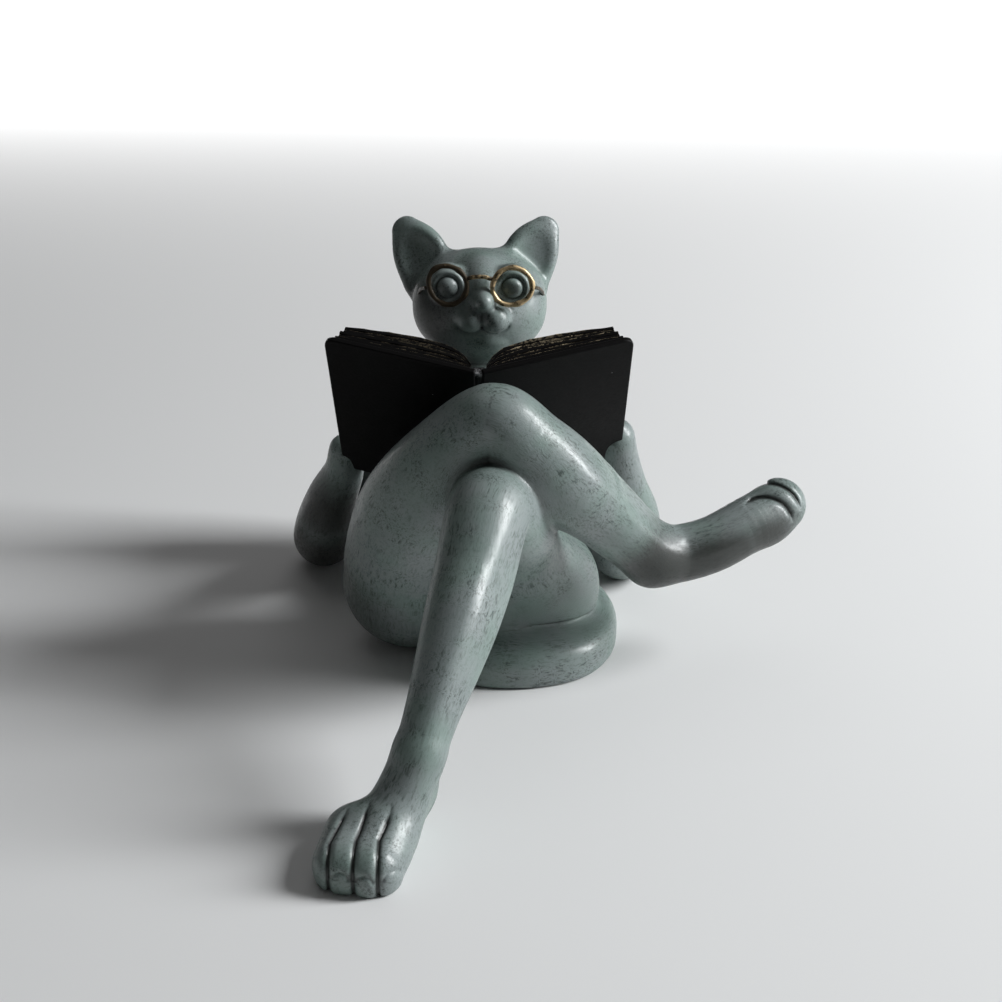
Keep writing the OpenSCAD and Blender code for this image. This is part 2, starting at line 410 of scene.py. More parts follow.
def head_form():
    skull = lens((MID, 70, 81.2), (18.4, 15.5, 12.8))
    jaw = lens((MID, 67, 75.5), (17.8, 13.5, 11.5))
    neck = tube([(MID, 68, 76, 10), (MID, 74, 66, 10.5)])
    muzzle = lens((MID + 0.8, 60, 79), (9.4, 6.6, 6.6))
    face = join(3, join(5, skull, jaw, neck), muzzle)
    ridge = tube([(MID + 0.8, 62, 89, 4), (MID + 1.2, 56.4, 87, 3.7), (NOSE[0], 52.6, 84.5, 2.7)])
    pads = join(0.3, lens((NOSE[0] + 2.9, 53.9, 78.5), (4.2, 4.5, 3.9)),
                lens((NOSE[0] - 3.8, 54.2, 78.6), (4, 4.2, 3.8)))
    chin = lens((MID + 2.2, 58.2, 71.6), (6, 4.4, 3.2))
    solid = join(1.2, join(1.3, join(5, face, ridge), pads), chin)
    solid = join(1.4, solid, *[lid(e) for e in EYES.values()])
    return bounded([(MID, 68, 80, 20)], furrowed(solid, FURROWS["head"]))


EAR_MID = -18.2
EAR_FLAT = 2.4
EAR_SINK = 3.6
EAR_FACE = np.array((0.3, -1, 0.42))
EAR_SHELL = [(13.3, 75, 85, 7.8), (15.8, 77, 91.2, 7.7), (19.4, 79.3, 96.9, 4.4)]
EAR_HOLLOW = [(13.3, 75, 85, 6.4), (15.8, 77, 91.2, 6.6), (19.2, 79.1, 96.9, 3.5)]


def ear_form(side):
    """A flattened leaf, gently hollowed in front; side is -1 for the right ear, +1 for the left."""
    def leaf(stations, shift):
        path = station_curve([(EAR_MID + side * x, y, z, r) for x, y, z, r in stations], 6)
        axis = (path[-1] - path[0])[:3]
        axis /= np.linalg.norm(axis)
        face = EAR_FACE * (side, 1, 1)
        face = face - (face @ axis) * axis
        face /= np.linalg.norm(face)
        path[:, :3] += shift * face
        foot = path[0, :3].copy()
        rows = path - (*foot, 0, 0)
        rows[:, :3] += (EAR_FLAT - 1) * (rows[:, :3] @ face)[:, None] * face

        def field(p):
            q = p - foot
            q = q + (EAR_FLAT - 1) * (q @ face)[:, None] * face
            return nearest_bead(q, rows)[0] * 0.62
        return field
    shell = leaf(EAR_SHELL, 0)
    hollow = leaf(EAR_HOLLOW, EAR_SINK)
    ends = [(EAR_MID + side * x, y, z, r) for x, y, z, r in EAR_SHELL]
    return bounded(ends, lambda p: soft_max(shell(p), -hollow(p), 1.3))


FORMS = {
    "torso": torso_form(),
    "head": head_form(),
    "left_ear": ear_form(1),
    "right_ear": ear_form(-1),
    "nose": bounded([(*NOSE, NOSE_R)], ball(*NOSE, NOSE_R)),
    "left_arm": tube(seat(ARM_L)),
    "right_arm": tube(seat(ARM_R)),
    "left_leg": left_leg_form(),
    "right_leg": right_leg_form(),
    "tail": tail_form(),
}
# What each form grows out of, and how wide the modelled join is.
JOINS = [("torso", "left_leg", 5), ("torso", "right_leg", 5), ("torso", "left_arm", 5),
         ("torso", "right_arm", 5), ("torso", "tail", 4), ("torso", "head", 5),
         ("head", "left_ear", 3), ("head", "right_ear", 3), ("head", "nose", 2.8),
         ("left_leg", "right_leg", 1.6)]


def skin_from(raw, p):
    """The cat's whole skin, from the distances of its separate forms."""
    skin = None
    for a, b, k in JOINS:
        pair = soft_min(raw[a], raw[b], k)
        skin = pair if skin is None else np.minimum(skin, pair)
    return soft_max(skin, 0.02 - p[:, 2], 0.5)


# Pieces of skin: the form each one covers and, where a plane parts it, the plane and the side.
PIECES = {form: (form, None, 0) for form in FORMS}
PIECES["left_leg"] = ("left_leg", ANKLE_L, -1)
PIECES["left_paw"] = ("left_leg", ANKLE_L, 1)
PIECES["right_leg"] = ("right_leg", ANKLE_R, -1)
PIECES["right_paw"] = ("right_leg", ANKLE_R, 1)


def raw_distances(p):
    return {name: form(p) for name, form in FORMS.items()}


def past_cut_of(name, raw, p):
    """How far points lie past a piece's cut, where the next form is nearer."""
    form, plane, side = PIECES[name]
    past = raw[form] - np.min([raw[n] for n in raw if n != form], axis=0)
    if plane:
        past = np.maximum(past, -side * ((p - plane[0]) @ plane[1]))
    return past


DIVE_DEPTH, DIVE_SLOPE = 1.2, 0.35


def piece_field(name):
    """One clay piece: the whole skin, cut where the next form comes nearer.
    Past the cut it dives under its neighbour, so the skin runs on without a gap."""
    def field(p):
        raw = raw_distances(p)
        past = past_cut_of(name, raw, p)
        return np.maximum(skin_from(raw, p) + DIVE_SLOPE * np.maximum(past, 0), past - DIVE_DEPTH)
    return field


# ---------------------------------------------------------------- skin mesher

COARSE = 4


def near_cells(field, low, shape, step):
    """The field in coarse cells, and which of them the surface may pass through."""
    cells = [s // COARSE for s in shape]
    size = step * COARSE
    axes = [low[i] + size * (np.arange(cells[i]) + 0.5) for i in range(3)]
    grid = np.stack(np.meshgrid(*axes, indexing="ij"), -1).reshape(-1, 3)
    d = in_chunks(field, grid).reshape(cells)
    return d, np.abs(d) < size * 1.1 + 0.6


def refined(cells):
    """Coarse cells repeated onto the fine grid."""
    for axis in range(3):
        cells = np.repeat(cells, COARSE, axis)
    return cells


def in_chunks(field, p, chunk=400000):
    return np.concatenate([field(p[i:i + chunk]) for i in range(0, len(p), chunk)])


def surface_net(field, low, high, step):
    """Vertices and quads of the field's zero surface inside the box."""
    low = np.array(low, float)
    shape = [math.ceil((h - l) / step / COARSE) * COARSE for l, h in zip(low, high)]
    d, near = near_cells(field, low, shape, step)
    mask = refined(near)
    grid = np.where(refined(d) < 0, -FAR, FAR)
    idx = np.argwhere(mask)
    grid[mask] = in_chunks(field, low + step * idx)
    inside = grid < 0
    nx, ny, nz = (s - 1 for s in grid.shape)
    corner = [(i, j, k) for i in (0, 1) for j in (0, 1) for k in (0, 1)]

    def shifted(a, c):
        return a[c[0]:c[0] + nx, c[1]:c[1] + ny, c[2]:c[2] + nz]
    count = sum(shifted(inside, c).astype(np.int8) for c in corner)
    active = (count > 0) & (count < 8)
    cells = np.argwhere(active)
    total = np.zeros((len(cells), 3))
    hits = np.zeros(len(cells))
    values = {c: grid[cells[:, 0] + c[0], cells[:, 1] + c[1], cells[:, 2] + c[2]] for c in corner}
    for a in corner:
        for axis in range(3):
            if a[axis]:
                continue
            b = tuple(a[i] + (i == axis) for i in range(3))
            va, vb = values[a], values[b]
            cross = (va < 0) != (vb < 0)
            t = np.where(cross, va / np.where(cross, va - vb, 1), 0)
            t = np.clip(t, 0, 1)
            point = np.array(a) + t[:, None] * (np.array(b) - np.array(a))
            total += point * cross[:, None]
            hits += cross
    verts = low + step * (cells + total / hits[:, None])
    index = np.full(active.shape, -1)
    index[active] = np.arange(len(cells))
    quads = []
    for axis in range(3):
        u, v = (axis + 1) % 3, (axis + 2) % 3
        a = inside
        b = np.roll(inside, -1, axis)
        flips = a != b
        flips[tuple(slice(-1, None) if i == axis else slice(None) for i in range(3))] = False
        pts = np.argwhere(flips)
        ok = (pts[:, u] > 0) & (pts[:, v] > 0) & (pts[:, u] < active.shape[u]) \
            & (pts[:, v] < active.shape[v]) & (pts[:, axis] < active.shape[axis])
        pts = pts[ok]
        ring = []
        for du, dv in ((-1, -1), (0, -1), (0, 0), (-1, 0)):
            q = pts.copy()
            q[:, u] += du
            q[:, v] += dv
            ring.append(index[q[:, 0], q[:, 1], q[:, 2]])
        quad = np.stack(ring, 1)
        out = a[pts[:, 0], pts[:, 1], pts[:, 2]]
        quad[~out] = quad[~out][:, ::-1]
        quads.append(quad)
    quads = np.vstack(quads)
    return verts, quads[(quads >= 0).all(1)]


TETRA = np.array(((1, -1, -1), (-1, -1, 1), (-1, 1, -1), (1, 1, 1)), float)


def gradient(field, p, eps=0.06):
    """Mean field value and gradient from four points about each point."""
    total = np.zeros(len(p))
    g = np.zeros_like(p)
    for corner in TETRA:
        d = field(p + corner * eps)
        total += d
        g += d[:, None] * corner
    return total / 4, g / (4 * eps)


def settle(field, verts, step, rounds=2):
    """Moves the vertices onto the field's zero surface."""
    for _ in range(rounds):
        d, g = gradient(field, verts)
        size = np.linalg.norm(g, axis=1)
        move = -(d / np.maximum(size, 0.3) ** 2)[:, None] * g
        length = np.linalg.norm(move, axis=1)
        move *= np.minimum(1, 0.6 * step / np.maximum(length, 1e-9))[:, None]
        verts = verts + move
    return verts


def add_attribute(obj, key, values):
    kind = "FLOAT_VECTOR" if values.ndim == 2 else "FLOAT"
    layer = obj.data.attributes.new(key, kind, "POINT")
    layer.data.foreach_set("vector" if values.ndim == 2 else "value", values.astype(np.float32).ravel())


def mesh_object(name, verts, faces):
    mesh = bpy.data.meshes.new(name)
    mesh.vertices.add(len(verts))
    mesh.vertices.foreach_set("co", ((verts + HOME) * MM).astype(np.float32).ravel())
    mesh.loops.add(faces.size)
    mesh.loops.foreach_set("vertex_index", faces.ravel().astype(np.int32))
    mesh.polygons.add(len(faces))
    mesh.polygons.foreach_set("loop_start", np.arange(0, faces.size, faces.shape[1], dtype=np.int32))
    mesh.update(calc_edges=True)
    mesh.polygons.foreach_set("use_smooth", np.ones(len(faces), bool))
    mesh.validate()
    obj = bpy.data.objects.new(name, mesh)
    bpy.context.scene.collection.objects.link(obj)
    return obj


# ---------------------------------------------------------------- materials

def new_material(name):
    mat = bpy.data.materials.new(name)
    mat.use_nodes = True
    tree = mat.node_tree
    return mat, tree, tree.nodes["Principled BSDF"]


def node(tree, kind, **settings):
    made = tree.nodes.new(kind)
    for key, value in settings.items():
        setattr(made, key, value)
    return made


def wire(tree, source, target):
    tree.links.new(source, target)


def attribute(tree, name, output="Fac"):
    return node(tree, "ShaderNodeAttribute", attribute_name=name).outputs[output]


def noise(tree, vector, scale, detail=3.0, rough=0.55, w=None):
    made = node(tree, "ShaderNodeTexNoise", noise_dimensions="3D" if w is None else "4D")
    made.inputs["Scale"].default_value = scale
    made.inputs["Detail"].default_value = detail
    made.inputs["Roughness"].default_value = rough
    wire(tree, vector, made.inputs["Vector"])
    if w is not None:
        wire(tree, w, made.inputs["W"])
    return made.outputs["Fac"]


def ramp(tree, value, low, high, out_low=0.0, out_high=1.0):
    made = node(tree, "ShaderNodeMapRange", interpolation_type="SMOOTHSTEP")
    made.inputs["From Min"].default_value = low
    made.inputs["From Max"].default_value = high
    made.inputs["To Min"].default_value = out_low
    made.inputs["To Max"].default_value = out_high
    wire(tree, value, made.inputs["Value"])
    return made.outputs["Result"]


def maths(tree, operation, a, b):
    made = node(tree, "ShaderNodeMath", operation=operation)
    for socket, value in zip(made.inputs, (a, b)):
        if isinstance(value, (int, float)):
            socket.default_value = value
        else:
            wire(tree, value, socket)
    return made.outputs["Value"]


def blend(tree, factor, a, b):
    """Mixes two colours, each an rgb tuple or a socket."""
    made = node(tree, "ShaderNodeMix", data_type="RGBA")
    wire(tree, factor, made.inputs[0])
    for socket, value in zip((made.inputs[6], made.inputs[7]), (a, b)):
        if isinstance(value, tuple):
            socket.default_value = (*value, 1)
        else:
            wire(tree, value, socket)
    return made.outputs[2]


def bump(tree, height, distance, strength=1.0):
    made = node(tree, "ShaderNodeBump")
    made.inputs["Distance"].default_value = distance
    made.inputs["Strength"].default_value = strength
    wire(tree, height, made.inputs["Height"])
    return made.outputs["Normal"]


def object_mm(tree):
    """Object coordinates in millimetres."""
    coords = node(tree, "ShaderNodeTexCoord").outputs["Object"]
    made = node(tree, "ShaderNodeVectorMath", operation="SCALE")
    wire(tree, coords, made.inputs[0])
    made.inputs["Scale"].default_value = 1 / MM
    return made.outputs["Vector"]


SAGE = (0.181, 0.240, 0.219)
SAGE_BLUE = (0.215, 0.250, 0.247)
WASH = (0.028, 0.045, 0.039)
CREVICE_GLAZE_AND_SHADE = (0.010, 0.012, 0.010)
SHADE_AND_STROKE_DARK = (0.020, 0.022, 0.019)


def glaze_material():
    """Satin sage glaze with dark brush strokes along the limbs. The creases are darkened, partly by dark
    glaze pooled there and partly as painted shade, and listed spots on the shaded side and the undersides
    get painted shade.
    """
    mat, tree, bsdf = new_material("glaze")
    perp = attribute(tree, "perp", "Vector")
    run = attribute(tree, "run")
    hollow = attribute(tree, "hollow")
    place = object_mm(tree)
    along = maths(tree, "MULTIPLY", run, 0.22)
    dabs = noise(tree, perp, 1.6, 4, 0.65, along)
    cloud = noise(tree, place, 0.075, 3, 0.5)
    patch = noise(tree, place, 0.13, 3, 0.6)
    tone = blend(tree, ramp(tree, cloud, 0.35, 0.65), SAGE, SAGE_BLUE)
    cover = ramp(tree, patch, 0.40, 0.64, 0.22, 0.9)
    strokes = maths(tree, "MULTIPLY", ramp(tree, dabs, 0.48, 0.66), cover)
    tone = blend(tree, strokes, tone, WASH)
    scratch = noise(tree, perp, 4.5, 2, 0.5, along)
    thin = maths(tree, "MULTIPLY", ramp(tree, scratch, 0.56, 0.66, 0.0, 0.9), cover)
    tone = blend(tree, thin, tone, WASH)
    # Painted shade from the shade spots, with a little of the brush strokes, darkens the glaze here.
    thick = maths(tree, "ADD", attribute(tree, "painted_shade"), maths(tree, "MULTIPLY", dabs, 0.25))
    tone = blend(tree, ramp(tree, thick, 0.14, 0.95, 0.0, 0.95), tone, SHADE_AND_STROKE_DARK)
    # The creases darken towards near black: partly dark glaze pooled there, partly painted shade.
    tone = blend(tree, ramp(tree, hollow, 0.28, 0.80, 0.0, 0.93), tone, CREVICE_GLAZE_AND_SHADE)
    wire(tree, tone, bsdf.inputs["Base Color"])
    rough = maths(tree, "ADD", ramp(tree, dabs, 0.4, 0.7, 0.0, 0.2), 0.37)
    wire(tree, rough, bsdf.inputs["Roughness"])
    fine = noise(tree, perp, 2.6, 3, 0.6, along)
    wire(tree, bump(tree, maths(tree, "ADD", fine, dabs), 0.00006, 0.7), bsdf.inputs["Normal"])
    bsdf.inputs["Specular IOR Level"].default_value = 0.55
    bsdf.inputs["Coat Weight"].default_value = 0.2
    bsdf.inputs["Coat Roughness"].default_value = 0.2
    return mat


BLACK = (0.0016, 0.0014, 0.0015)
SPECK = (0.42, 0.42, 0.43)
GOLD_RUB = (0.88, 0.73, 0.49)


def black_material(name, rubbed):
    """Black with a few pale specks; rubbed adds the dry-brushed gold along each layer of pages,
    and a cover is chipped where its chip attribute says so."""
    mat, tree, bsdf = new_material(name)
    place = object_mm(tree)
    cells = node(tree, "ShaderNodeTexVoronoi")
    cells.inputs["Scale"].default_value = 0.28
    wire(tree, place, cells.inputs["Vector"])
    dots = ramp(tree, cells.outputs["Distance"], 0.050, 0.035)
    rare = ramp(tree, noise(tree, place, 0.11, 1), 0.60, 0.64)
    tone = blend(tree, maths(tree, "MULTIPLY", dots, rare), BLACK, SPECK)
    brush = noise(tree, place, 1.4, 4, 0.7)
    if rubbed:
        along = maths(tree, "MULTIPLY", ramp(tree, attribute(tree, "edge"), 0.55, 0.9),
                      ramp(tree, attribute(tree, "level"), 0.90, 1.0))
        rub = maths(tree, "MULTIPLY", along, ramp(tree, brush, 0.46, 0.54, 0.0, 0.95))
        tone = blend(tree, rub, tone, GOLD_RUB)
        wire(tree, maths(tree, "MULTIPLY", rub, 0.3), bsdf.inputs["Metallic"])
    else:
        chip = maths(tree, "MULTIPLY", attribute(tree, "chip"), ramp(tree, brush, 0.40, 0.5))
        tone = blend(tree, chip, tone, SPECK)
    wire(tree, tone, bsdf.inputs["Base Color"])
    wire(tree, ramp(tree, brush, 0.3, 0.7, 0.36, 0.5), bsdf.inputs["Roughness"])
    wire(tree, bump(tree, brush, 0.00006, 0.5), bsdf.inputs["Normal"])
    bsdf.inputs["Specular IOR Level"].default_value = 0.11
    return mat


GOLD = (0.62, 0.47, 0.27)
TARNISH = (0.010, 0.008, 0.007)


def gilt_material(name, worn):
    """Antique gold over a dark ground; worn is the share of the ground that shows. A high share is tarnish
    on some parts and painted shade on others.
    """
    mat, tree, bsdf = new_material(name)
    place = object_mm(tree)
    wear = noise(tree, place, 0.55, 4, 0.65)
    edge = 0.66 - 0.36 * worn
    tone = blend(tree, ramp(tree, wear, edge - 0.1, edge + 0.08, 0.0, 0.92), GOLD, TARNISH)
    wire(tree, tone, bsdf.inputs["Base Color"])
    wire(tree, ramp(tree, wear, 0.3, 0.7, 0.32, 0.5), bsdf.inputs["Roughness"])
    wire(tree, bump(tree, wear, 0.00012, 0.6), bsdf.inputs["Normal"])
    bsdf.inputs["Metallic"].default_value = 0.85 * (1 - worn)
    bsdf.inputs["Specular IOR Level"].default_value = 0.4 - 0.2 * worn
    return mat


def plug_material():
    mat, tree, bsdf = new_material("plug")
    grain = noise(tree, object_mm(tree), 1.5, 4, 0.6)
    tone = blend(tree, ramp(tree, grain, 0.35, 0.65), (0.36, 0.34, 0.31), (0.46, 0.44, 0.40))
    wire(tree, tone, bsdf.inputs["Base Color"])
    wire(tree, bump(tree, grain, 0.00008, 0.5), bsdf.inputs["Normal"])
    bsdf.inputs["Roughness"].default_value = 0.8
    return mat


GLAZE = glaze_material()
COVER = black_material("book_cover", False)
PAGES = black_material("book_pages", True)
# The fully dark gilt is a dark copy of the gold: on the cat's right rim, which stands in shadow, it is
# painted shade; on the temples it is their own tarnished colour. The half-dark gilt on the bridge sits
# between the two.
GILT = gilt_material("gilt", 0.2)
GILT_WORN_AND_SHADE = gilt_material("gilt_worn_and_shade", 1.0)
GILT_HALF_DARK = gilt_material("gilt_half_dark", 0.55)
PLUG = plug_material()


# ---------------------------------------------------------------- building the clay pieces

PAW_SPAN = 30.0
STEPS = {"torso": 1.0, "head": 0.35, "nose": 0.25, "left_ear": 0.35, "right_ear": 0.35,
         "left_arm": 0.7, "right_arm": 0.7, "left_leg": 0.5, "right_leg": 0.5, "tail": 0.6,
         "left_paw": 0.27, "right_paw": 0.27}
GRAIN_PATHS = [station_curve(s, 3) for s in (TORSO, LEG_L, LEG_R, ARM_L, ARM_R, TAIL)]


def grain_of(p):
    """Offset from the nearest limb's middle line and distance along it, blended between limbs."""
    perp = np.zeros_like(p)
    run = np.zeros(len(p))
    weight = np.zeros(len(p))
    for n, path in enumerate(GRAIN_PATHS):
        best = np.full(len(p), 1e9)
        off = np.zeros_like(p)
        along = np.zeros(len(p))
        travelled = 0.0
        for a, b in zip(path[:-1], path[1:]):
            ab = b[:3] - a[:3]
            ap = p - a[:3]
            t = np.clip(ap @ ab / (ab @ ab), 0, 1)
            q = ap - t[:, None] * ab
            gap = np.linalg.norm(q, axis=1) - (a[3] + t * (b[3] - a[3]))
            closer = gap < best
            best = np.where(closer, gap, best)
            off[closer] = q[closer]
            along = np.where(closer, travelled + t * np.linalg.norm(ab), along)
            travelled += np.linalg.norm(ab)
        w = np.exp(-np.maximum(best, 0) / 2.0)
        perp += w[:, None] * off
        run += w * (along + 200.0 * n)
        weight += w
    return perp / weight[:, None], run / weight


HOLLOW_REACHES = (0.8, 2.5, 6.0)


def hollow_of(field, verts, normals):
    """How closely the skin folds round each vertex, from 0 in the open to 1 in a crevice."""
    total = np.zeros(len(verts))
    for reach in HOLLOW_REACHES:
        free = field(verts + normals * reach)
        total += np.clip(1 - free / reach, 0, 1) / len(HOLLOW_REACHES)
    return total


def whole_skin(p):
    return skin_from(raw_distances(p), p)


def paw_box(plane, low, high):
    """The part of a leg's box that its paw can reach."""
    point, to_paw = plane
    spread = 16.0
    low = np.maximum(low, np.where(to_paw > 0, point - spread, point - PAW_SPAN))
    high = np.minimum(high, np.where(to_paw > 0, point + PAW_SPAN, point + spread))
    return low, high


# Spots of painted shade on the shaded side of the cat and on the raised foot: x, y, z, how far it reaches
# and how strong it is
PAINTED_SHADE_SPOTS = [(27, -4, 33, 14, 1.1), (40, 0, 34, 14, 1.1), (52, 6, 38, 12, 0.9), (-62, 62, 14, 20, 1.0),
          (-58, 45, 32, 14, 0.95), (-31, 66, 78, 14, 0.9), (-38, 74, 92, 8, 0.3), (-46, 10, 16, 17, 0.5)]


def painted_shade_of(verts, normals):
    """Painted shade from the spots, stronger where the skin faces down and fading off the tops of the
    forms.
    """
    total = np.zeros(len(verts))
    for x, y, z, reach, strength in PAINTED_SHADE_SPOTS:
        gap = np.linalg.norm(verts - (x, y, z), axis=1) / reach
        total = np.maximum(total, strength * np.clip(1.6 - 1.2 * gap, 0, 1))
    # Painted shade is stronger where the skin faces down.
    return total * np.clip(1.05 - 0.9 * normals[:, 2], 0, 1)


def furrow_shade(form, verts):
    """The furrows are darkened, partly by dark glaze pooled in them and partly as painted shade."""
    depth = sum((sink(verts) for sink in FURROWS.get(form, [])), np.zeros(len(verts)))
    return np.clip(depth / 0.95, 0, 0.9)


def smooth_normals(obj, verts, past, normals):
    """Shades the skin by its own slope, so that no line shows where two pieces meet."""
    slope = gradient(whole_skin, verts)[1]
    length = np.linalg.norm(slope, axis=1)
    on_skin = (length > 0.2) & (past < 1.0)
    normals[on_skin] = slope[on_skin] / length[on_skin][:, None]
    obj.data.normals_split_custom_set_from_vertices(normals.tolist())


def clay_piece(name):
    field = piece_field(name)
    form, plane, side = PIECES[name]
    low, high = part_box(form)
    margin = 3.0
    low = np.maximum(to_body(low) - margin, FORMS[form].low)
    high = np.minimum(to_body(high) + margin, FORMS[form].high)
    if side > 0:
        low, high = paw_box(plane, low, high)
    step = STEPS[name]
    verts, quads = surface_net(field, low, high, step)
    verts = settle(field, verts, step)
    perp, run = grain_of(verts)
    obj = mesh_object("clay_" + name, verts, quads)
    normals = np.empty(len(verts) * 3, np.float32)
    obj.data.vertices.foreach_get("normal", normals)
    normals = normals.reshape(-1, 3).astype(float)
    add_attribute(obj, "perp", perp)
    add_attribute(obj, "run", run)
    # How enclosed the skin is sets the crease darkening, partly dark glaze pooled there and partly painted
    # shade.
    hollow = hollow_of(whole_skin, verts, normals)
    add_attribute(obj, "hollow", np.maximum(hollow, furrow_shade(form, verts)))
    # Painted shade, on the shaded side and the undersides.
    add_attribute(obj, "painted_shade", painted_shade_of(verts, normals))
    smooth_normals(obj, verts, past_cut_of(name, raw_distances(verts), verts), normals)
    obj.data.materials.append(GLAZE)
    stand_for(obj, "glaze", form)


def stand_for(obj, slot, *nodes):
    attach(obj, "root")
    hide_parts(*nodes)


def eye_piece(name):
    """A glazed ball, with the fine mesh that its highlight needs."""
    bm = bmesh.new()
    bmesh.ops.create_icosphere(bm, subdivisions=5, radius=EYE_R)
    verts = np.array([v.co for v in bm.verts]) + EYES[name] + (0, EYE_BACK, 0)
    faces = np.array([[v.index for v in f.verts] for f in bm.faces])
    bm.free()
    obj = mesh_object(name + "ball", verts, faces)
    add_attribute(obj, "perp", verts - EYES[name])
    for key in ("run", "hollow", "painted_shade"):
        add_attribute(obj, key, np.zeros(len(verts)))
    obj.data.materials.append(GLAZE)
    stand_for(obj, "glaze", name)


# ---------------------------------------------------------------- the book

BOOK_ROOT = np.array((-16.2, 23.5, 38.1))
BOARD_W, BOARD_H, BOARD_T = 35.8, 52.8, 1.6
PAGE_T = 6.4
SPINE_HALF = 2.4
BOARD_OVERLAP = 1.5
OPEN = math.radians(16)
LEAN = math.radians(34.6)
LEFT, RIGHT = 1, -1


def in_book(side, v, w, u):
    """Book space (out from the spine, up off the board, up the spine) as body space."""
    x = (v * math.cos(OPEN) - w * math.sin(OPEN) + SPINE_HALF) * side
    y = v * math.sin(OPEN) + w * math.cos(OPEN)
    return np.stack((x, y * math.cos(LEAN) - u * math.sin(LEAN),
                     y * math.sin(LEAN) + u * math.cos(LEAN)), -1) + BOOK_ROOT


def ripple(*phases):
    """Slow unevenness between about -1 and 1, the same at every run."""
    total = 0
    for n, phase in enumerate(phases):
        total = total + np.sin(phase + 1.7 * n) * 0.6 ** n
    return total / 1.6


def loft(name, rings, material, attributes=None):
    """A closed solid through rings of points, shape (rings, points, 3), capped at both ends."""
    count, size = rings.shape[:2]
    verts = rings.reshape(-1, 3)
    faces = []
    for i in range(count - 1):
        for j in range(size):
            k = (j + 1) % size
            faces.append((i * size + j, i * size + k, (i + 1) * size + k, (i + 1) * size + j))
    mesh = bpy.data.meshes.new(name)
    ends = [tuple(range(size))[::-1], tuple(range((count - 1) * size, count * size))]
    mesh.from_pydata((((verts + HOME) * MM).tolist()), [], faces + ends)
    mesh.polygons.foreach_set("use_smooth", np.ones(len(mesh.polygons), bool))
    obj = bpy.data.objects.new(name, mesh)
    bpy.context.scene.collection.objects.link(obj)
    fix_normals(obj)
    for key, values in (attributes or {}).items():
        add_attribute(obj, key, values)
    obj.data.materials.append(material)
    return obj


def fix_normals(obj):
    bm = bmesh.new()
    bm.from_mesh(obj.data)
    bmesh.ops.recalc_face_normals(bm, faces=bm.faces)
    bm.to_mesh(obj.data)
    bm.free()


def round_edges(obj, width, segments=3, angle=30):
    """Bevels the sharp edges, with flat faces kept flat."""
    bevel = obj.modifiers.new("edges", "BEVEL")
    bevel.width = width * MM
    bevel.segments = segments
    bevel.limit_method = "ANGLE"
    bevel.angle_limit = math.radians(angle)
    bevel.harden_normals = True
    return obj


def board_outline(corner=2.6, steps=6):
    """The board's edge, from the foot of the spine round to its head."""
    pts = [(-BOARD_OVERLAP, 0.0)]
    for first, middle in ((-90, corner), (0, BOARD_H - corner)):
        turn = [math.radians(a) for a in np.linspace(first, first + 90, steps)]
        pts += [(BOARD_W - corner + corner * math.cos(a), middle + corner * math.sin(a)) for a in turn]
    pts.append((-BOARD_OVERLAP, BOARD_H))
    return np.array(pts)


def board_piece(name, side):
    edge = board_outline()
    rings = [in_book(side, edge[:, 0], np.full(len(edge), w), edge[:, 1]) for w in (0, BOARD_T)]
    obj = round_edges(loft(name + "_cover", np.array(rings), COVER), 0.45)
    stand_for(obj, "book_black", name)


def page_height(v):
    """Thickness of the page block above the board, out from the gutter."""
    rise = 1 - np.exp(-(v + 0.7) / 3.4)
    fall = 1 - 0.32 * np.clip((v - 12) / (BOARD_W - 14), 0, 1) ** 1.5
    return PAGE_T * rise * fall


BANDS = 5
BAND_GAP = 0.12


def page_band(side, n):
    """One gathering of leaves: a curved slab with uneven edges."""
    share = n / BANDS
    out = BOARD_W - 2.2 - 1.5 * share - 0.3 * (n % 2)
    v = np.concatenate((np.linspace(0.2, 6, 10), np.linspace(7, out, 18)))
    under = BOARD_T + page_height(v) * share
    over = BOARD_T + page_height(v) * (share + 1 / BANDS) - BAND_GAP
    over = np.maximum(over, under + 0.1)
    steps = np.linspace(0, 1, 25)
    inset = 0.5 + 0.22 * (n % 2) + 0.15 * n
    rings = []
    for t in steps:
        u = inset + t * (BOARD_H - 2 * inset)
        uneven = 0.16 if t in (0.0, 1.0) else 0.0
        u_edge = u + uneven * ripple(v * 0.9 + n * 2.1 + side, v * 2.3 + u * 0.6)
        w = np.concatenate((under, over[::-1]))
        vv = np.concatenate((v, v[::-1] + 0.08 * ripple(v[::-1] * 3 + n)))
        uu = np.concatenate((u_edge, u_edge[::-1]))
        rings.append(in_book(side, vv, w, uu))
    edge = np.zeros((len(steps), 2 * len(v)))
    edge[:, len(v) - 1:len(v) + 1] = 0.75
    edge[[0, -1], :] = 1.0 if side == LEFT else 0.67
    level = np.tile(np.repeat((0.0, 1.0), len(v)), (len(steps), 1))
    name = f"{'left' if side == LEFT else 'right'}_leaves_{n}"
    obj = loft(name, np.array(rings), PAGES, {"edge": edge.ravel(), "level": level.ravel()})
    return round_edges(obj, 0.14, 2, 40)


def page_pieces(node_name, side):
    for n in range(BANDS):
        stand_for(page_band(side, n), "book_black", node_name)


# The back's section: half width outside and inside, how round it is, how deep, and the degrees
# that its arc leaves out at each end
BACK_HALF, BACK_INNER = 1.9, 1.3
BACK_ROUND, BACK_DEPTH = 1.0, 1.9
BACK_ENDS = 14


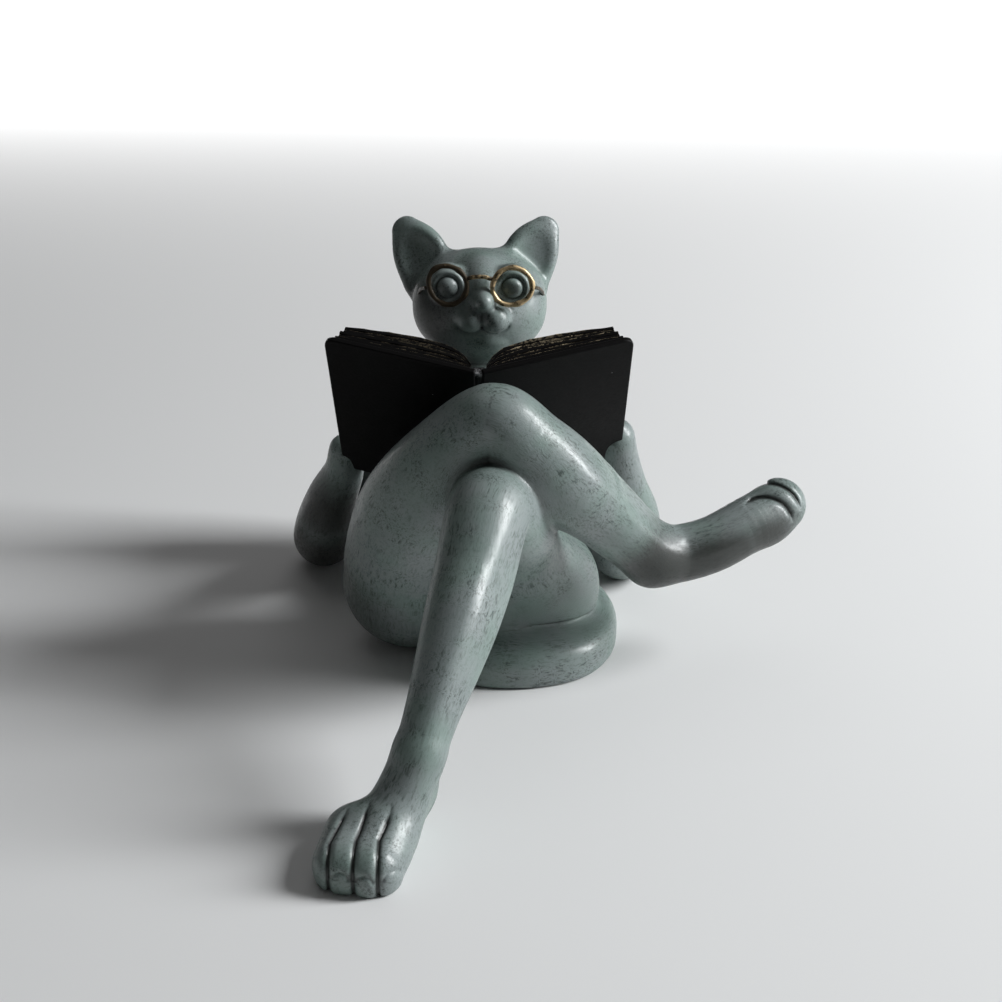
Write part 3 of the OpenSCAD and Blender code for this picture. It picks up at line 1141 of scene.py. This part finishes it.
def spine_piece():
    """The rounded back that joins the two boards."""
    angles = np.radians(np.linspace(180 + BACK_ENDS, 360 - BACK_ENDS, 21))
    x = np.concatenate((BACK_HALF * np.cos(angles), (BACK_INNER, -BACK_INNER)))
    y = np.concatenate((BACK_ROUND * (np.sin(angles) + 0.9), (BACK_DEPTH, BACK_DEPTH)))
    rings = []
    for u in np.append(np.linspace(0.5, BOARD_H - 2.0, 11), BOARD_H - 0.5):
        rings.append(np.stack((x, y * math.cos(LEAN) - u * math.sin(LEAN),
                               y * math.sin(LEAN) + u * math.cos(LEAN)), -1) + BOOK_ROOT)
    chip = np.zeros((len(rings), len(x)))
    chip[-1, :14] = 0.8
    obj = round_edges(loft("book_back", np.array(rings), COVER, {"chip": chip.ravel()}), 0.3)
    stand_for(obj, "book_black", "spine")


# ---------------------------------------------------------------- the spectacles

WIRE = 0.72
WIRE_STEP = 0.22
RIM_TURN = {"left_rim": 6, "right_rim": -6}


def rim_piece(name):
    """A hand-rolled ring of wire, a little out of round."""
    low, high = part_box(name)
    centre = to_body(box_centre(name))
    middle = (high[2] - low[2]) / MM / 2 - WIRE
    turn = math.radians(RIM_TURN[name])
    a = np.radians(np.arange(0, 360, 4))
    phase = 1.3 if name == "left_rim" else 3.4
    ring = middle + 0.16 * np.sin(2 * a + phase) + 0.10 * np.sin(3 * a + 2 * phase)
    thick = WIRE * (1 + 0.10 * np.sin(5 * a + phase) + 0.08 * np.sin(9 * a))
    b = np.radians(np.arange(0, 360, 22.5))
    radius = ring[:, None] + thick[:, None] * np.cos(b)
    x = radius * np.cos(a)[:, None]
    z = radius * np.sin(a)[:, None]
    y = thick[:, None] * 0.85 * np.sin(b)
    verts = np.stack((x * math.cos(turn) - y * math.sin(turn),
                      x * math.sin(turn) + y * math.cos(turn), z), -1).reshape(-1, 3) + centre
    count, size = len(a), len(b)
    i, j = np.meshgrid(np.arange(count), np.arange(size), indexing="ij")
    i2, j2 = (i + 1) % count, (j + 1) % size
    faces = np.stack((i * size + j, i2 * size + j, i2 * size + j2, i * size + j2), -1)
    obj = mesh_object(name + "_wire", verts, faces.reshape(-1, 4)[:, ::-1])
    # The cat's right rim stands in shadow; the fully dark gilt there is painted shade.
    obj.data.materials.append(GILT_WORN_AND_SHADE if name == "right_rim" else GILT)
    fix_normals(obj)
    stand_for(obj, "gilt", name)


def wire_piece(name, new_name, stations, material):
    """A bent wire with closed round ends."""
    path = station_curve(stations)
    field = tube(stations)
    margin = 0.8
    low = (path[:, :3] - path[:, 3:4]).min(0) - margin
    high = (path[:, :3] + path[:, 3:4]).max(0) + margin
    verts, quads = surface_net(field, low, high, WIRE_STEP)
    obj = mesh_object(new_name, settle(field, verts, WIRE_STEP), quads)
    obj.data.materials.append(material)
    stand_for(obj, "gilt", name)


RIM_MID = -16.6
BRIDGE = [(-20.6, 51.2, 89.8, 0.6), (-18.2, 50.6, 90.6, 0.58),
          (-15.4, 50.6, 90.6, 0.58), (-12.9, 51.2, 89.6, 0.6)]
TEMPLE = [(14.6, 52.2, 87.3, 0.5), (15.8, 56, 86.2, 0.5), (16.8, 61, 84.2, 0.5), (17.3, 66, 82, 0.5)]


def temple_stations(side):
    """From the rim's outer side back along the head; side as in ear_form."""
    return [(RIM_MID + side * x, y, z, r) for x, y, z, r in TEMPLE]




# ---------------------------------------------------------------- assembly

for piece in PIECES:
    clay_piece(piece)
for eye in EYES:
    eye_piece(eye)
board_piece("left_board", LEFT)
board_piece("right_board", RIGHT)
page_pieces("left_pages", LEFT)
page_pieces("right_pages", RIGHT)
spine_piece()
rim_piece("left_rim")
rim_piece("right_rim")
wire_piece("bridge", "bridge_wire", BRIDGE, GILT_HALF_DARK)
wire_piece("left_temple", "left_temple_wire", temple_stations(1), GILT_WORN_AND_SHADE)
wire_piece("right_temple", "right_temple_wire", temple_stations(-1), GILT_WORN_AND_SHADE)
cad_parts["vent_plug"].data.materials.clear()
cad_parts["vent_plug"].data.materials.append(PLUG)


# ---------------------------------------------------------------- stage, light and camera

def make_stage():
    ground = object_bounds()[0][2]
    bpy.ops.mesh.primitive_plane_add(size=12, location=(0, 0, ground))
    floor = bpy.context.object
    floor.name = "floor"
    mat = bpy.data.materials.new("floor")
    mat.use_nodes = True
    bsdf = mat.node_tree.nodes["Principled BSDF"]
    bsdf.inputs["Base Color"].default_value = (0.8, 0.8, 0.8, 1)
    bsdf.inputs["Roughness"].default_value = 0.9
    floor.data.materials.append(mat)


def area_light(name, direction, distance, size, power, colour=(1, 1, 1), middle=(0, 0, 0.05)):
    """A soft box that faces the middle from a direction; size is its width and height."""
    data = bpy.data.lights.new(name, "AREA")
    data.shape = "RECTANGLE"
    data.size, data.size_y = size
    data.energy = power
    data.color = colour
    obj = bpy.data.objects.new(name, data)
    bpy.context.scene.collection.objects.link(obj)
    aim = Vector(direction).normalized()
    obj.location = Vector(middle) + aim * distance
    obj.rotation_euler = (-aim).to_track_quat("-Z", "Y").to_euler()
    return obj


def make_lights():
    area_light("window", (0.95, 0.0, 0.52), 1.3, (0.34, 0.95), 26, (0.97, 0.99, 1))
    area_light("overhead", (-0.1, 0.35, 1), 1.6, (1.6, 1.6), 2.4)
    far = area_light("far_floor", (0, 0.02, 1), 1.6, (3.5, 1.6), 85, middle=(0, 2.3, 0))
    far.data.spread = math.radians(90)
    world = bpy.data.worlds.new("world")
    world.use_nodes = True
    background = world.node_tree.nodes["Background"]
    background.inputs["Color"].default_value = (1, 1, 1, 1)
    background.inputs["Strength"].default_value = 0.06
    scene = bpy.context.scene
    scene.world = world
    scene.view_settings.view_transform = "Standard"


CAMERA_AT = (-11, -330, 180)
CAMERA_TILT = 68
CAMERA_LENS = 52.1


def make_camera():
    data = bpy.data.cameras.new("camera")
    data.sensor_width = 36
    data.lens = CAMERA_LENS
    cam = bpy.data.objects.new("camera", data)
    cam.location = (np.array(CAMERA_AT) + HOME) * MM
    cam.rotation_euler = (math.radians(CAMERA_TILT), 0, 0)
    bpy.context.scene.collection.objects.link(cam)
    bpy.context.scene.camera = cam


make_stage()
make_lights()
make_camera()
